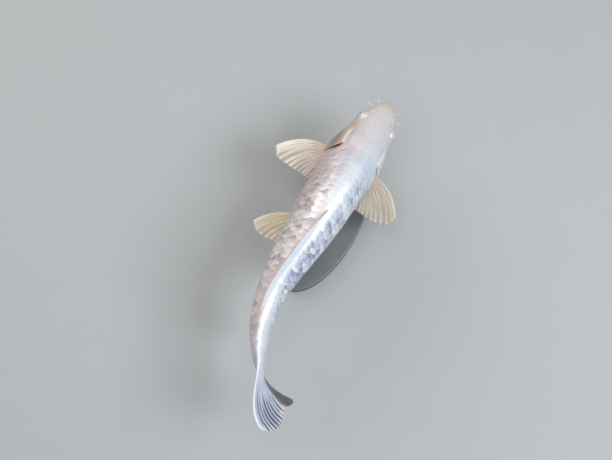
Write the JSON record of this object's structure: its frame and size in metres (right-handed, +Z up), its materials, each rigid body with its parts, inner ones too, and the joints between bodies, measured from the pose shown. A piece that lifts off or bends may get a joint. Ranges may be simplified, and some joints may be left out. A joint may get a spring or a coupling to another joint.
{
  "type": "koi carp",
  "caption": "Silver-white koi carp with mottled metallic scales and cream fins, turning gently as it swims, held as a life-size still model by two rods on a flat oval base.",
  "frame": {"origin": "middle of the stand's underside, on the surface it rests on", "axes": "+X the way the front half of the fish heads, +Y the fish's left, +Z up"},
  "size_m": [0.4749, 0.2151, 0.2027],
  "materials": {
    "skin": "pearly silver-white, scaled, wet-looking",
    "barbel": "soft cream",
    "eye": "clear and polished, dark pupil in a gold-grey iris",
    "fin": "thin, rayed and slightly see-through",
    "stand": "satin dark grey"
  },
  "bodies": {
    "root": {"head": "skin", "lower_jaw": "skin", "trunk_front": "skin", "trunk_rear": "skin", "tail_stalk": "skin", "gill_cover_left": "skin", "gill_cover_right": "skin", "barbel_corner_left": "barbel", "barbel_corner_right": "barbel", "barbel_upper_left": "barbel", "barbel_upper_right": "barbel", "eye_left": "eye", "eye_right": "eye", "pectoral_fin_left": "fin", "pectoral_fin_right": "fin", "pelvic_fin_left": "fin", "pelvic_fin_right": "fin", "dorsal_fin": "fin", "anal_fin": "fin", "tail_fin_upper": "fin", "tail_fin_lower": "fin", "stand_base": "stand", "stand_rod_front": "stand", "stand_rod_rear": "stand"}
  },
  "joints": []
}
